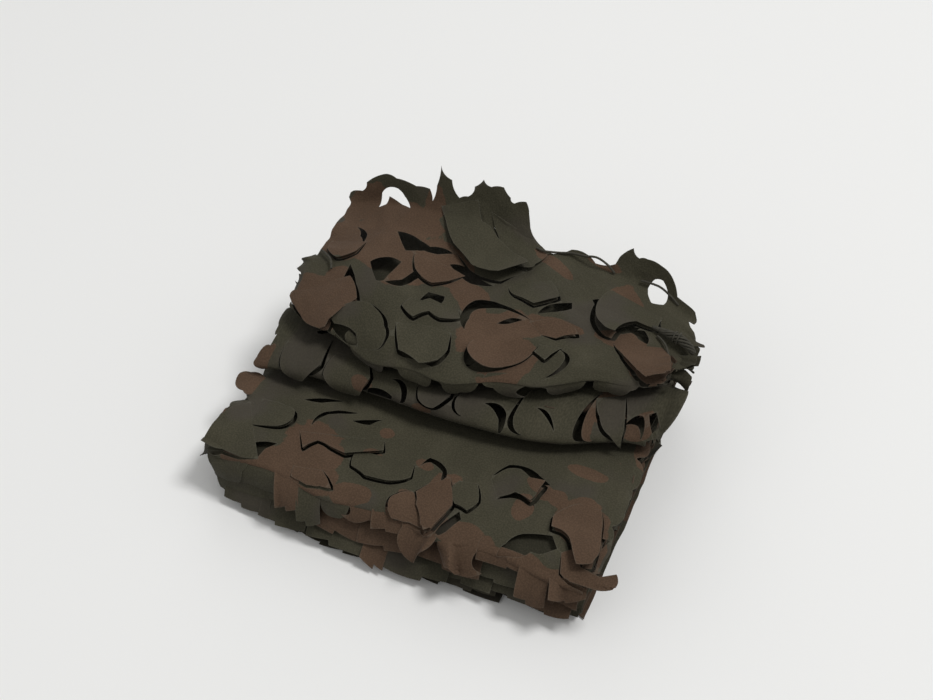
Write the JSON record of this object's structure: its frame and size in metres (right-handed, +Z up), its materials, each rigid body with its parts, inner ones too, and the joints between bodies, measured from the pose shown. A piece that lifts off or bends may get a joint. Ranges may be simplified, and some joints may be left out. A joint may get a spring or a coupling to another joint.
{
  "type": "folded camouflage net",
  "caption": "Leaf-cut camouflage cloth on a cord net, folded back and forth into a soft bundle with a raised rear layer and a ragged standing edge",
  "frame": {"origin": "middle of the outline, on the surface that the bundle lies on", "axes": "+X along the front folds, +Y to the back with the standing edge, +Z up"},
  "size_m": [0.4482, 0.3714, 0.2268],
  "materials": {
    "garnish_cloth": "matt woven cloth printed in green, brown and grey-brown",
    "net_cord": "matt twisted cord"
  },
  "bodies": {
    "root": {"garnish_cloth": "garnish_cloth", "net_strand_top": "net_cord", "net_strand_arch": "net_cord", "net_strand_side": "net_cord", "net_strand_left": "net_cord", "net_hank": "net_cord"}
  },
  "joints": []
}
